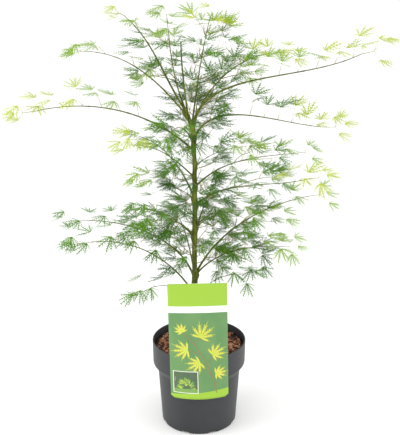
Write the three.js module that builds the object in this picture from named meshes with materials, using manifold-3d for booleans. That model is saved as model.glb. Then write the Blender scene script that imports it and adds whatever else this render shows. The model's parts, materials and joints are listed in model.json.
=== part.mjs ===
// A young laceleaf Japanese maple in its moulded plastic pot, with a plain plant card on the rim.
// Units are millimetres and degrees. +Z is up, -Y is the front, and the origin is the centre of the
// pot's flat underside. Compass directions turn from +X (right) towards +Y (back).
import * as THREE from "three";
import { mergeVertices } from "three/addons/utils/BufferGeometryUtils.js";
import Module from "manifold-3d";

const wasm = await Module();
wasm.setup();

// ---------- Driving dimensions ----------

const CLEARANCE = 0.3; // gap between pieces that touch
const TIDY = 0.02; // detail finer than this is smoothed away where solids are fused
const GRID = 0.004; // points lie on this grid

const POT = {
  height: 180,
  rimRadius: 95,
  bandRadius: 94.3, // lower edge of the deep band under the rim
  bandHeight: 48,
  slopeHeight: 16, // slope that leads in from the band to the body
  shoulderRadius: 84,
  footRadius: 76.5,
  footRound: 5,
  wall: 2.4,
  floor: 9,
  sides: 32,
  slots: 8, // drain slots cut across the edge of the foot
  slotWidth: 15,
  slotDepth: 16,
  slotHeight: 5,
};

const SOIL = { belowRim: 20, levelRadius: 16, crown: 2.5, roughness: 2.2, seed: 5 };

const CARD = {
  width: 115,
  height: 250,
  thickness: 0.8,
  bottom: 91.5,
  shift: -1, // to the left of the pot's axis
  lean: -1.2,
  bow: 14, // how far the lower edge bends back round the pot
  corner: 3,
};

// The trunk's axis as [x, y, height above the soil], and its radii.
const TRUNK = {
  axis: [
    [-5, 0, 0],
    [-5, 0, 20],
    [-6, 2, 75],
    [-9, 0, 200],
    [-8, -2, 320],
    [-11, 0, 440],
    [-18, 0, 478],
    [-27, 0, 501],
  ],
  rootRadius: 5.6,
  forkRadius: 3.4,
  flare: 4.5, // extra radius at the soil
  flareHeight: 12,
  buttresses: 4,
  sides: 10,
  rings: 14,
};

// Each limb leaves the trunk's axis at a height above the ground, heads for a compass turn, and ends
// at its reach and rise from there. It climbs at one angle from its root and is level or drooping by
// another at its tip. The bare share of its length is bough, and the rest is the stem of its foliage,
// whose side shoots are as long as its spread. A tuft is foliage whose stem sits on the trunk.
const LIMBS = [
  // name, turn, height, reach, rise, climb, level, radius, bare share, spread
  ["long_left", 188, 577, 298, 88, 46, -12, 2.4, 0.48, 40],
  ["long_right", -6, 615, 312, 155, 87, 28, 2.6, 0.44, 50],
  ["arch_right", 15, 598, 270, 9, 70, -6, 2.2, 0.4, 45],
  ["top_left", 165, 655, 120, 176, 54, 38, 2.1, 0.75, 25],
  ["upper_left", 198, 643, 186, 136, 51, 8, 2, 0.5, 40],
  ["leader", 150, 652, 42, 176, 62, 84, 2, 0.3, 45],
  ["steep_right", 62, 622, 75, 200, 74, 60, 2.1, 0.4, 55],
  ["top_right", 24, 606, 178, 148, 88, -4, 2, 0.4, 55],
  ["mid_left", 214, 524, 128, 85, 45, 12, 1.8, 0.4, 45],
  ["mid_right", 20, 505, 218, 48, 43, 0, 1.9, 0.3, 60],
  ["tier_right", -20, 467, 228, 79, 47, 20, 1.9, 0.3, 60],
  ["rising_right", 10, 318, 233, 155, 66, 8, 2.4, 0.4, 60],
  ["low_right", -16, 317, 174, 82, 56, 4, 2, 0.32, 60],
  ["low_left", 170, 300, 232, 120, 82, -8, 2.3, 0.34, 55],
  ["lowest_left", 197, 272, 214, 140, 63, -2, 2.2, 0.38, 50],
  ["back_high", 86, 588, 175, 76, 60, 4, 2, 0.34, 55],
  ["back_mid", 124, 478, 204, 84, 54, -4, 2.1, 0.34, 58],
  ["back_right", 70, 398, 205, 84, 54, -4, 2.1, 0.34, 60],
  ["back_low", 104, 312, 195, 82, 56, -6, 2.1, 0.34, 60],
  ["front_right", -52, 420, 140, 62, 50, -4, 1.8, 0.32, 50],
  ["front_high", 250, 585, 120, 58, 58, -10, 1.8, 0.38, 45],
  ["front_left", 228, 398, 118, 66, 52, -4, 1.8, 0.34, 50],
  ["sprig_left", 212, 262, 112, 50, 47, -16, 1.6, 0.42, 25],
  ["sprig_right", -24, 260, 94, 76, 68, 8, 1.6, 0.42, 25],
  ["tuft_left", 176, 480, 90, 34, 40, 0, 1.5, 0, 40],
  ["tuft_right", -8, 545, 90, 44, 46, 8, 1.5, 0, 40],
  ["tuft_low_left", 172, 404, 112, 52, 46, 4, 1.5, 0, 45],
  ["tuft_low_right", 6, 418, 95, 36, 48, 0, 1.5, 0, 45],
  ["snag", 180, 648, 12, 140, 84, 90, 1.9, 1, 0],
].map(([name, turn, height, reach, rise, climb, level, radius, bare, spread]) => ({
  name,
  turn,
  height,
  reach,
  rise,
  climb,
  level,
  radius,
  bare,
  spread,
}));

const LIMB = { handle: 0.36, sides: 5, rings: 5, tipShare: 0.55 };
const TWIG = {
  tipRadius: 1,
  pieces: 4, // straight pieces in a stem
  leafStep: 54,
  bareRoot: 26, // length of a tuft's stem with no leaves
  shootStep: 84,
  shootAngle: 48,
  shootLift: 22, // climb of a side shoot at its root
  shootShare: 0.7, // thickness of a side shoot against its stem
  shortest: 24,
};
const LEAF = {
  size: 60,
  petiole: 24,
  petioleRadius: 0.45,
  thickness: 1.2,
  lobes: [[-84, 0.62], [-42, 0.88], [0, 1], [42, 0.88], [84, 0.62]], // [angle, share of the size]
  lobeDroop: 0.12, // fall of a lobe's point, as a share of its length
  valley: 0.2,
  back: 140, // angle of the two points where the stalk meets the blade
  droop: 20,
  tries: 8,
  shrink: 0.07, // cut in size at each further try
};
const ROOM = { mass: 3, wood: 3, pot: 12, card: 8, rim: 20 }; // what foliage keeps clear of

// ---------- Small helpers ----------

const UP = new THREE.Vector3(0, 0, 1);
const radians = THREE.MathUtils.degToRad;
const lerp = THREE.MathUtils.lerp;

// Vector at a compass turn and an angle above the level.
function heading(turn, climb) {
  const level = Math.cos(radians(climb));
  return new THREE.Vector3(
    level * Math.cos(radians(turn)),
    level * Math.sin(radians(turn)),
    Math.sin(radians(climb)),
  );
}

// Repeatable random numbers from 0 to 1 (mulberry32).
function randomFrom(seed) {
  let state = seed >>> 0;
  return () => {
    state = (state + 0x6d2b79f5) >>> 0;
    let t = Math.imul(state ^ (state >>> 15), 1 | state);
    t = (t + Math.imul(t ^ (t >>> 7), 61 | t)) ^ t;
    return ((t ^ (t >>> 14)) >>> 0) / 4294967296;
  };
}

// A closed geometry as a manifold-3d solid, facing outwards. Points closer than the grid become one.
function solidOf(geometry) {
  const bare = new THREE.BufferGeometry();
  const grid = geometry.getAttribute("position").clone();
  grid.array.forEach((value, i) => (grid.array[i] = Math.round(value / GRID) * GRID));
  bare.setAttribute("position", grid);
  bare.setIndex(geometry.index);
  const merged = mergeVertices(bare, GRID / 2);
  const vertProperties = new Float32Array(merged.attributes.position.array);
  const triVerts = [];
  for (let i = 0; i < merged.index.count; i += 3) {
    const [a, b, c] = merged.index.array.slice(i, i + 3);
    if (a !== b && b !== c && c !== a) triVerts.push(a, b, c);
  }
  const solidFrom = (faces) =>
    new wasm.Manifold(new wasm.Mesh({ numProp: 3, vertProperties, triVerts: new Uint32Array(faces) }));
  const solid = solidFrom(triVerts);
  return solid.volume() >= 0 ? solid : solidFrom(triVerts.reverse());
}

function geometryOf(solid) {
  const { numProp, numVert, vertProperties, triVerts } = solid.getMesh();
  const position = new Float32Array(numVert * 3);
  for (let i = 0; i < numVert; i++) {
    position.set(vertProperties.subarray(i * numProp, i * numProp + 3), i * 3);
  }
  const geometry = new THREE.BufferGeometry();
  geometry.setAttribute("position", new THREE.BufferAttribute(position, 3));
  geometry.setIndex(new THREE.BufferAttribute(new Uint32Array(triVerts), 1));
  return geometry;
}

// The largest shell of a solid: loose scraps are dropped and sealed hollows are filled.
function outerShell(solid) {
  return solid.decompose().sort((a, b) => b.volume() - a.volume())[0];
}

// A closed geometry from points and triangles that index them.
function geometryFrom(points, triangles) {
  const geometry = new THREE.BufferGeometry().setFromPoints(points);
  geometry.setIndex(triangles);
  return geometry;
}

// A round limb swept along a curve from one share of its length to another, with flat ends.
// radiusAt(share, angle) gives its radius, so that it can taper and flare.
function sweep(curve, from, to, rings, sides, radiusAt) {
  const points = [];
  const triangles = [];
  let side = new THREE.Vector3().crossVectors(UP, curve.getTangentAt(from));
  if (side.lengthSq() < 1e-4) side.set(1, 0, 0);
  for (let ring = 0; ring <= rings; ring++) {
    const share = lerp(from, to, ring / rings);
    const centre = curve.getPointAt(share);
    const along = curve.getTangentAt(share);
    side = side.addScaledVector(along, -side.dot(along)).normalize();
    const over = new THREE.Vector3().crossVectors(along, side);
    for (let i = 0; i < sides; i++) {
      const angle = (i / sides) * Math.PI * 2;
      const radius = radiusAt(share, angle);
      points.push(
        centre
          .clone()
          .addScaledVector(side, radius * Math.cos(angle))
          .addScaledVector(over, radius * Math.sin(angle)),
      );
      if (ring === rings) continue;
      const [a, b] = [ring * sides + i, ring * sides + ((i + 1) % sides)];
      triangles.push(a, b, a + sides, b, b + sides, a + sides);
    }
  }
  const last = rings * sides;
  for (let i = 1; i < sides - 1; i++) {
    triangles.push(0, i + 1, i, last, last + i, last + i + 1);
  }
  return solidOf(geometryFrom(points, triangles));
}

// ---------- Pot, soil and card ----------

// The pot's profile from the axis outwards: [radius, height] up the outside, or up the inside.
function potProfile(inset, floor) {
  const band = POT.height - POT.bandHeight;
  const shoulder = band - POT.slopeHeight;
  return [
    [POT.footRadius - inset, Math.max(floor, POT.footRound)],
    [POT.shoulderRadius - inset, shoulder],
    [POT.bandRadius - inset, band],
    [POT.rimRadius - inset, POT.height],
  ];
}

function lathe(profile) {
  const points = profile.map(([radius, height]) => new THREE.Vector2(radius, height));
  return new THREE.LatheGeometry(points, POT.sides).rotateX(Math.PI / 2);
}

function pot() {
  const outside = [[0, 0], [POT.footRadius - POT.footRound, 0], ...potProfile(0, 0)];
  const inside = [...potProfile(POT.wall, POT.floor).reverse(), [0, POT.floor]];
  const slots = [];
  for (let i = 0; i < POT.slots; i++) {
    const slot = new THREE.BoxGeometry(POT.slotDepth * 2, POT.slotWidth, POT.slotHeight * 2);
    slot.translate(POT.footRadius, 0, 0);
    slot.rotateZ(((i + 0.5) / POT.slots) * Math.PI * 2);
    slots.push(solidOf(slot));
  }
  return solidOf(lathe([...outside, ...inside])).subtract(wasm.Manifold.union(slots));
}

const soilTop = POT.height - SOIL.belowRim;

function soil() {
  const inset = POT.wall + CLEARANCE;
  const [foot, shoulder, band, rim] = potProfile(inset, POT.floor + CLEARANCE);
  const edge = (rim[0] + band[0]) / 2;
  const top = [0.78, 0.48].map((share) => [edge * share, soilTop - SOIL.crown * share]);
  const geometry = lathe([
    [0, POT.floor + CLEARANCE],
    foot,
    shoulder,
    band,
    [edge, soilTop - SOIL.crown],
    ...top,
    [SOIL.levelRadius, soilTop],
    [0, soilTop],
  ]);
  // Small heaps and hollows between the level middle and the wall, the same at a lathe's seam.
  const random = randomFrom(SOIL.seed);
  const bumps = Array.from({ length: 5 }, () => [2 + Math.floor(random() * 7), random() * 6]);
  const position = geometry.getAttribute("position");
  for (let i = 0; i < position.count; i++) {
    const [x, y, z] = [position.getX(i), position.getY(i), position.getZ(i)];
    const radius = Math.hypot(x, y);
    if (z < soilTop - SOIL.crown - 0.1 || radius < SOIL.levelRadius + 1 || radius > edge - 1) continue;
    const turn = Math.atan2(y, x);
    const heap = bumps.reduce((sum, [waves, phase]) => sum + Math.cos(waves * turn + phase), 0);
    position.setZ(i, z + (SOIL.roughness * heap) / bumps.length);
  }
  return solidOf(geometry);
}

// A stiff card that hangs down the front of the band: flat above the rim, bowed round the pot below.
function plantCard() {
  const { width, height, thickness, bow, bottom, corner } = CARD;
  const geometry = new THREE.BoxGeometry(width, thickness, height, 7, 1, 5);
  const position = geometry.getAttribute("position");
  for (let i = 0; i < position.count; i++) {
    let [x, y, z] = [position.getX(i), position.getY(i), position.getZ(i)];
    const across = (2 * x) / width;
    const down = 0.5 - z / height;
    if (down > 0.999 && Math.abs(across) > 0.999) {
      x -= Math.sign(x) * corner;
      z += corner;
    }
    y += bow * down * across * across;
    position.setXYZ(i, x, y, z);
  }
  geometry.rotateY(radians(CARD.lean));
  const front = POT.rimRadius + CLEARANCE + thickness / 2;
  geometry.translate(CARD.shift, -front, bottom + height / 2);
  return solidOf(geometry);
}

// ---------- Trunk and limbs ----------

const trunkCurve = new THREE.CatmullRomCurve3(
  TRUNK.axis.map(([x, y, z]) => new THREE.Vector3(x, y, soilTop + CLEARANCE + z)),
);

function trunkRadius(share, angle = 0) {
  const above = share * trunkCurve.getLength();
  const flare = TRUNK.flare * Math.exp(-above / TRUNK.flareHeight);
  const lobes = 0.7 + 0.3 * Math.cos(TRUNK.buttresses * angle + 1);
  return lerp(TRUNK.rootRadius, TRUNK.forkRadius, share ** 1.4) + flare * lobes;
}

// The trunk, or the trunk grown by a gap, which cuts other pieces clear of it.
function trunk(gap = 0) {
  const radius = (share, angle) => trunkRadius(share, angle) + gap;
  return sweep(trunkCurve, 0, 1, TRUNK.rings, TRUNK.sides, radius);
}

function onTrunk(height) {
  const samples = 400;
  const points = trunkCurve.getSpacedPoints(samples);
  const near = (p) => Math.abs(p.z - height);
  return points.reduce((best, p) => (near(p) < near(best) ? p : best));
}

// The limb's curve: it climbs out of the trunk, arches over, and runs to its tip.
function limbCurve({ turn, height, reach, rise, climb, level }) {
  const root = onTrunk(height);
  const tip = root.clone().addScaledVector(heading(turn, 0), reach).addScaledVector(UP, rise);
  const handle = LIMB.handle * root.distanceTo(tip);
  return new THREE.CubicBezierCurve3(
    root,
    root.clone().addScaledVector(heading(turn, climb), handle),
    tip.clone().addScaledVector(heading(turn, level), -handle),
    tip,
  );
}

const limbs = LIMBS.map((limb, i) => {
  const curve = limbCurve(limb);
  return { ...limb, curve, length: curve.getLength(), seed: 101 + 13 * i };
});

const boughRadius = (limb) => (share) => limb.radius * lerp(1, LIMB.tipShare, share);

function bough(limb, gap = 0) {
  const radius = boughRadius(limb);
  const end = limb.bare + (gap * 1.2) / limb.length;
  const to = Math.min(end, 1);
  return sweep(limb.curve, 0, to, LIMB.rings, LIMB.sides, (share) => radius(share) + gap);
}

// ---------- Foliage ----------

// Sample points of the wood and of the stems, with the room that each needs round it.
function samples(curve, from, to, radiusAt) {
  const count = 26;
  return Array.from({ length: count + 1 }, (_, i) => {
    const share = lerp(from, to, i / count);
    return { point: curve.getPointAt(share), radius: radiusAt(share) };
  });
}

const wood = [
  { owner: "trunk", dots: samples(trunkCurve, 0, 1, (share) => trunkRadius(share)) },
  ...limbs
    .filter((limb) => limb.bare > 0)
    .map((limb) => ({ owner: limb.name, dots: samples(limb.curve, 0, limb.bare, boughRadius(limb)) })),
];
const stems = limbs
  .filter((limb) => limb.bare < 1)
  .map((limb) => ({ owner: limb.name, dots: samples(limb.curve, limb.bare, 1, () => 1) }));

const nearest = (dots, point) =>
  dots.reduce((least, dot) => Math.min(least, dot.point.distanceTo(point) - dot.radius), Infinity);

// True if a point is nearer to its own mass's stem than to any other, and clear of wood, pot and card.
function inOwnSpace(limb, point) {
  const own = stems.find((stem) => stem.owner === limb.name);
  const reach = nearest(own.dots, point);
  if (stems.some((stem) => stem !== own && nearest(stem.dots, point) < reach + ROOM.mass)) return false;
  if (wood.some((limbWood) => nearest(limbWood.dots, point) < ROOM.wood)) return false;
  const overPot = Math.hypot(point.x, point.y) < POT.rimRadius + ROOM.pot;
  if (overPot && point.z < POT.height + ROOM.pot) return false;
  const besideCard = Math.abs(point.x) > CARD.width / 2 + ROOM.card;
  const overCard = point.z > CARD.bottom + CARD.height + ROOM.card;
  return besideCard || overCard || point.y > ROOM.rim - POT.rimRadius;
}

// One leaf with its stalk: a three-sided stalk that opens into a star of long lobes, each a thin blade
// from the raised middle down to its drooping point.
function leafSolid({ root, knee, forward, size }) {
  const side = new THREE.Vector3().crossVectors(UP, forward).normalize();
  const normal = new THREE.Vector3().crossVectors(forward, side);
  const spoke = (angle, length) =>
    knee
      .clone()
      .addScaledVector(forward, length * Math.cos(radians(angle)))
      .addScaledVector(side, length * Math.sin(radians(angle)));
  const outline = [spoke(-LEAF.back, size * LEAF.valley * 0.5)];
  LEAF.lobes.forEach(([angle, share], i) => {
    const length = size * share;
    outline.push(spoke(angle, length).addScaledVector(UP, -length * LEAF.lobeDroop));
    const next = LEAF.lobes[i + 1];
    if (next) outline.push(spoke((angle + next[0]) / 2, size * LEAF.valley));
  });
  outline.push(spoke(LEAF.back, size * LEAF.valley * 0.5));
  const half = LEAF.thickness / 2;
  const top = knee.clone().addScaledVector(normal, half);
  const under = knee.clone().addScaledVector(normal, -half);
  const along = new THREE.Vector3().subVectors(knee, root).normalize();
  const across = new THREE.Vector3().crossVectors(UP, along).normalize();
  const over = new THREE.Vector3().crossVectors(along, across);
  const foot = [90, -30, 210].map((angle) =>
    root
      .clone()
      .addScaledVector(over, LEAF.petioleRadius * Math.sin(radians(angle)))
      .addScaledVector(across, LEAF.petioleRadius * Math.cos(radians(angle))),
  );
  const points = [...outline, top, under, ...foot];
  const n = outline.length;
  const [T, U, above, left, right] = [n, n + 1, n + 2, n + 3, n + 4];
  const triangles = [];
  for (let i = 0; i < n - 1; i++) triangles.push(T, i, i + 1, U, i + 1, i);
  triangles.push(U, 0, n - 1, above, left, right);
  triangles.push(T, n - 1, above, above, n - 1, left, T, above, 0, 0, above, right);
  triangles.push(n - 1, 0, left, left, 0, right);
  return solidOf(geometryFrom(points, triangles));
}

// Where a leaf's blade reaches, as [across, ahead] in shares of its size.
const REACHES = [[0, 0], [0, 1], [0, 0.5], [0.65, 0.5], [-0.65, 0.5], [0.4, 0.7], [-0.4, 0.7]];

// A leaf on a twig: it is tried at a few lengths and angles, and skipped where none keeps to the space
// of its mass and clear of the mass's other twigs and leaves.
function growLeaf(mass, twig, root, outward, lift) {
  const { limb, random, twigs, leaves } = mass;
  for (let i = 0; i < LEAF.tries; i++) {
    const shrink = 1 - LEAF.shrink * i;
    const stalk = outward.clone().applyAxisAngle(UP, (random() - 0.5) * 0.6);
    stalk.z += lift * (0.6 + 0.8 * random());
    stalk.normalize();
    const knee = root.clone().addScaledVector(stalk, LEAF.petiole * shrink * lerp(0.8, 1.3, random()));
    const turn = (Math.atan2(stalk.y, stalk.x) * 180) / Math.PI;
    const forward = heading(turn, -LEAF.droop * lerp(0, 1.3, random()));
    const size = LEAF.size * shrink * lerp(0.85, 1.12, random());
    const side = new THREE.Vector3().crossVectors(UP, forward).normalize();
    const inSpace = REACHES.every(([across, ahead]) => {
      const point = knee.clone().addScaledVector(forward, size * ahead);
      return inOwnSpace(limb, point.addScaledVector(side, size * across));
    });
    if (!inSpace) continue;
    const leaf = leafSolid({ root, knee, forward, size });
    const touches = (other) => !leaf.intersect(other).isEmpty();
    if (leaves.some(touches) || twigs.some((other) => other !== twig && touches(other.solid))) continue;
    leaves.push(leaf);
    return;
  }
}

// A three-sided twig made of straight pieces along a curve.
function twigOn(curve, from, pieces, radiusAt) {
  return { curve, from, pieces, solid: sweep(curve, from, 1, pieces, 3, radiusAt) };
}

// The point on a twig's own axis at a share of its curve, where leaves and side shoots are rooted.
function axisPoint({ curve, from, pieces }, share) {
  const along = ((share - from) / (1 - from)) * pieces;
  const piece = Math.min(Math.floor(along), pieces - 1);
  const joint = (i) => curve.getPointAt(lerp(from, 1, i / pieces));
  return joint(piece).lerp(joint(piece + 1), along - piece);
}

// Pairs of leaves along a twig, from one share of it to its tip, with a leaf at the tip.
function growLeaves(mass, twig, from) {
  const { curve } = twig;
  const span = curve.getLength() * (1 - from);
  const pairs = Math.max(1, Math.round(span / TWIG.leafStep));
  growLeaf(mass, twig, axisPoint(twig, 0.985), curve.getTangentAt(1), 0.15);
  for (let i = 1; i <= pairs; i++) {
    const share = lerp(from, 1, (i - 0.4) / pairs);
    const along = curve.getTangentAt(share);
    const side = new THREE.Vector3().crossVectors(UP, along).normalize();
    for (const hand of i % 2 ? [1, -1] : [-1, 1]) {
      const outward = along.clone().multiplyScalar(0.55).addScaledVector(side, hand * 0.8);
      growLeaf(mass, twig, axisPoint(twig, share), outward, i % 2 ? 0.35 : 0.7);
    }
  }
}

// Side shoots in pairs along the stem, shorter towards its tip.
function growShoots(mass, stem, firstLeaf) {
  const { limb, random } = mass;
  const span = limb.length * (1 - firstLeaf);
  const pairs = limb.spread < TWIG.shortest ? 0 : Math.round(span / TWIG.shootStep);
  for (let i = 0; i < pairs; i++) {
    const share = lerp(firstLeaf, 1, (i + 0.15) / pairs);
    const root = axisPoint(stem, share);
    const along = limb.curve.getTangentAt(share);
    const ahead = (Math.atan2(along.y, along.x) * 180) / Math.PI;
    const thickness = TWIG.shootShare * mass.stemRadius(share);
    for (const hand of [1, -1]) {
      const turn = ahead + hand * TWIG.shootAngle;
      const bent = (length) =>
        new THREE.QuadraticBezierCurve3(
          root,
          root.clone().addScaledVector(heading(turn, TWIG.shootLift), length / 2),
          root.clone().addScaledVector(heading(turn - hand * TWIG.shootAngle * 0.3, 4), length),
        );
      let length = limb.spread * lerp(1.1, 0.6, i / pairs) * lerp(0.9, 1.15, random());
      while (length > TWIG.shortest && !inOwnSpace(limb, bent(length).getPointAt(1))) length -= 6;
      if (length > TWIG.shortest) mass.twigs.push(twigOn(bent(length), 0, 2, () => thickness));
    }
  }
}

// The foliage of a limb: the stem goes on along the limb's curve, just clear of the bough's end.
function foliage(limb) {
  const from = limb.bare > 0 ? limb.bare + CLEARANCE / limb.length : 0;
  const rootRadius = boughRadius(limb)(from);
  const stemRadius = (share) => lerp(rootRadius, TWIG.tipRadius, (share - from) / (1 - from));
  const stem = twigOn(limb.curve, from, TWIG.pieces, stemRadius);
  const mass = { limb, stemRadius, random: randomFrom(limb.seed), twigs: [stem], leaves: [] };
  const firstLeaf = Math.max(from, TWIG.bareRoot / limb.length);
  growShoots(mass, stem, firstLeaf);
  mass.twigs.forEach((twig) => growLeaves(mass, twig, twig === stem ? firstLeaf : 0.35));
  return wasm.Manifold.union([...mass.twigs.map((twig) => twig.solid), ...mass.leaves]);
}

// ---------- Assembly ----------

const FINISH = {
  plastic: { color: 0x4a4b50, roughness: 0.5, metalness: 0 },
  bark: { color: 0x6b6a35, roughness: 0.8, metalness: 0 },
  compost: { color: 0x4d2c1e, roughness: 0.95, metalness: 0 },
  card: { color: 0x86b85a, roughness: 0.35, metalness: 0 },
  leaf: { color: 0x5f9a3c, roughness: 0.6, metalness: 0 },
};

const maple = new THREE.Group();

function add(name, solid, finish) {
  const material = new THREE.MeshStandardMaterial(FINISH[finish]);
  const whole = outerShell(solidOf(geometryOf(outerShell(solid).simplify(TIDY))));
  const mesh = new THREE.Mesh(geometryOf(whole), material);
  mesh.name = name;
  maple.add(mesh);
}

add("pot", pot(), "plastic");
add("soil", soil(), "compost");
add("plant_card", plantCard(), "card");
add("trunk", trunk(), "bark");

// Each limb is cut clear of the trunk and of the boughs made before it.
let cleared = trunk(CLEARANCE);
for (const limb of limbs.filter(({ bare }) => bare > 0)) {
  add(`bough_${limb.name}`, bough(limb).subtract(cleared), "bark");
  cleared = cleared.add(bough(limb, CLEARANCE));
}
for (const limb of limbs.filter(({ bare }) => bare < 1)) {
  add(`foliage_${limb.name}`, foliage(limb).subtract(cleared), "leaf");
}

export default maple;
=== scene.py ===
# %% [markdown]
# # A laceleaf maple in its nursery pot
# The real thing is a young Japanese maple with finely cut leaves, sold in a black plastic pot with a
# printed card on its rim. Its solids are already packed as a CAD model. This lesson loads them as a
# fixed frame and builds what the eye sees around them: bark, twigs, hundreds of lacy leaves, bark
# mulch, the moulded pot and the card. Nothing here moves or resizes a CAD part.

import json
import math

import bmesh
import bpy
import numpy as np
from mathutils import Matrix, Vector, noise


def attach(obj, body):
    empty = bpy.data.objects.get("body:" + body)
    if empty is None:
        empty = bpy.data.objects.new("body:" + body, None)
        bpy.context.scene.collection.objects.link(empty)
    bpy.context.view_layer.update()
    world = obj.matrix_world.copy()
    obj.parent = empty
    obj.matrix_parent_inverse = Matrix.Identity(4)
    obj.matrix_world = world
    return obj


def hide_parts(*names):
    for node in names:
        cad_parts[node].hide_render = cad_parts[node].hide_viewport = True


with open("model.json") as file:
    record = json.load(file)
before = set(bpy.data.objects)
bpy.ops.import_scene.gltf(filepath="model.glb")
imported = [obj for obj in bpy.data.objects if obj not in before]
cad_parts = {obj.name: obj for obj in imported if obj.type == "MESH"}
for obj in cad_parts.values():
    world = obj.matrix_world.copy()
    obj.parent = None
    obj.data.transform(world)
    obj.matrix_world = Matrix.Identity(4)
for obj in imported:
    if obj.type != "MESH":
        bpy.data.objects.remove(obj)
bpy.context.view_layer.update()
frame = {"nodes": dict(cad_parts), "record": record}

# %% [markdown]
# ## Camera, floor and light
# A product like this is shot from a little above, with a long lens that keeps the pot's sides straight.
# The camera could be aimed with a Track To constraint, but two plain numbers, its place and its tilt,
# are easier to read. The floor is one large pale sheet, and the light is soft: a white world, one broad
# sun for gentle shadows, and two tall panels that give the pot its long highlights.

# %% Camera
CAMERA_PLACE, LOOK_DOWN, LENS, SENSOR, FAR_CLIP = (0.002, -1.9, 1.099), 19.08, 84.55, 36, 200


def in_scene(name, data):
    """An object that holds this data, linked to the scene."""
    thing = bpy.data.objects.new(name, data)
    bpy.context.collection.objects.link(thing)
    return thing


camera_data = bpy.data.cameras.new("studio_camera")
camera_data.sensor_width = SENSOR
camera_data.lens = LENS
camera_data.clip_end = FAR_CLIP
camera = in_scene("studio_camera", camera_data)
camera.location = CAMERA_PLACE
camera.rotation_euler = (math.radians(90 - LOOK_DOWN), 0, 0)
bpy.context.scene.camera = camera
print("camera", [round(v, 3) for v in camera.location], "lens", round(camera_data.lens, 2), "mm")


# %% Colours and nodes
def paint(code):
    """An sRGB hex colour as the linear colour that Blender's sockets take."""
    levels = [int(code[i : i + 2], 16) / 255 for i in (0, 2, 4)]
    linear = [v / 12.92 if v <= 0.04045 else ((v + 0.055) / 1.055) ** 2.4 for v in levels]
    return (*linear, 1)


def socket_of(sockets, key):
    """The socket with this number or name. Of several with one name, it is the one in use."""
    if isinstance(key, int):
        return sockets[key]
    named = [socket for socket in sockets if socket.name == key]
    return next((socket for socket in named if socket.enabled), named[0])


def plug(tree, node, links):
    """Links a node's inputs to sockets, or to other nodes, which give their first output in use."""
    for key, source in links.items():
        if hasattr(source, "outputs"):
            source = next(socket for socket in source.outputs if socket.enabled)
        tree.links.new(source, socket_of(node.inputs, key))


def add(tree, kind, settings=None, links=None):
    """Adds a node with its settings (a property, or an input's value) and its links."""
    node = tree.nodes.new(kind)
    for name, value in (settings or {}).items():
        if isinstance(name, str) and hasattr(node, name):
            setattr(node, name, value)
        else:
            socket_of(node.inputs, name).default_value = value
    plug(tree, node, links or {})
    return node


print("light grey in linear light:", [round(v, 3) for v in paint("c0c0c0")])


# %% Finishes
def finish_named(name, constants):
    """A new material with its shader's constant values: (material, node tree, shader)."""
    material = bpy.data.materials.new(name)
    material.use_nodes = True
    shader = material.node_tree.nodes["Principled BSDF"]
    for socket, value in constants.items():
        shader.inputs[socket].default_value = value
    return material, material.node_tree, shader


def lay_stops(ramp, stops):
    """Gives a colour ramp its stops, as (position, sRGB colour), from the low end to the high end."""
    elements = ramp.color_ramp.elements
    for position, _ in stops[1:-1]:
        elements.new(position)
    for element, (position, code) in zip(elements, stops):
        element.position, element.color = position, paint(code)


# Matt paper has no highlight, so the floor stays an even white.
floor_paper, *_ = finish_named("matt_white_paper", {"Base Color": paint("fafaf9"), "Roughness": 0.9})
print("first finish:", floor_paper.name)

# %% Floor, world and lights
FLOOR_REACH, WORLD_WHITE, WORLD_STRENGTH = 30, (1, 1, 1, 1), 0.95
floor_mesh = bpy.data.meshes.new("studio_floor")
corners = [(x * FLOOR_REACH, y * FLOOR_REACH, 0) for x, y in ((-1, -1), (1, -1), (1, 1), (-1, 1))]
floor_mesh.from_pydata(corners, [], [(0, 1, 2, 3)])
floor_mesh.materials.append(floor_paper)
in_scene("studio_floor", floor_mesh)

world = bpy.data.worlds.new("white_studio")
bpy.context.scene.world = world
world.use_nodes = True
sky = world.node_tree.nodes["Background"].inputs
sky["Color"].default_value = WORLD_WHITE
sky["Strength"].default_value = WORLD_STRENGTH
bpy.context.scene.view_settings.view_transform = "Standard"

LIGHTS = [
    # name, kind, place, aimed at, power, size
    ("broad_sun", "SUN", (-0.8, -1.8, 3.6), (0, 0, 0.4), 0.9, 1.6),
    ("left_panel", "AREA", (-1.5, -0.5, 0.7), (0, 0, 0.2), 9, 0.9),
    ("right_panel", "AREA", (1.5, -0.2, 0.7), (0, 0, 0.2), 7, 0.9),
]
for name, kind, place, target, power, size in LIGHTS:
    light = bpy.data.lights.new(name, kind)
    light.energy = power
    setattr(light, "angle" if kind == "SUN" else "size", size)
    lamp = in_scene(name, light)
    lamp.location = place
    lamp.rotation_euler = (Vector(target) - Vector(place)).to_track_quat("-Z", "Y").to_euler()
print(len(LIGHTS), "lights and a white world")

# %% [markdown]
# ## Helpers for pieces
# Most pieces here are lists of points and faces in millimetres, worked out by a rule. One helper turns
# them into a Blender object. Another runs a Geometry Nodes tree on an object and keeps the result as a
# plain mesh: the exported model can't hold live instances, so every tree realizes them first.

# %% From points to pieces
MM = 0.001


def row_faces(rows, across, first=0, wrapped=True):
    """Four-sided faces between rows of points. A wrapped row closes round on itself."""
    faces = []
    for row in range(rows - 1):
        start = first + row * across
        for k in range(across if wrapped else across - 1):
            a, b = start + k, start + (k + 1) % across
            faces.append((a, b, b + across, a + across))
    return faces


def piece_from(name, points, faces, materials, smooth=True):
    """A mesh object from points in millimetres. Its origin stays at the world's origin."""
    mesh = bpy.data.meshes.new(name)
    mesh.from_pydata((np.array(points, float) * MM).tolist(), [], faces)
    for material in materials:
        mesh.materials.append(material)
    mesh.polygons.foreach_set("use_smooth", [smooth] * len(mesh.polygons))
    mesh.update()
    print(name, len(faces), "faces")
    return in_scene(name, mesh)


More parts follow.
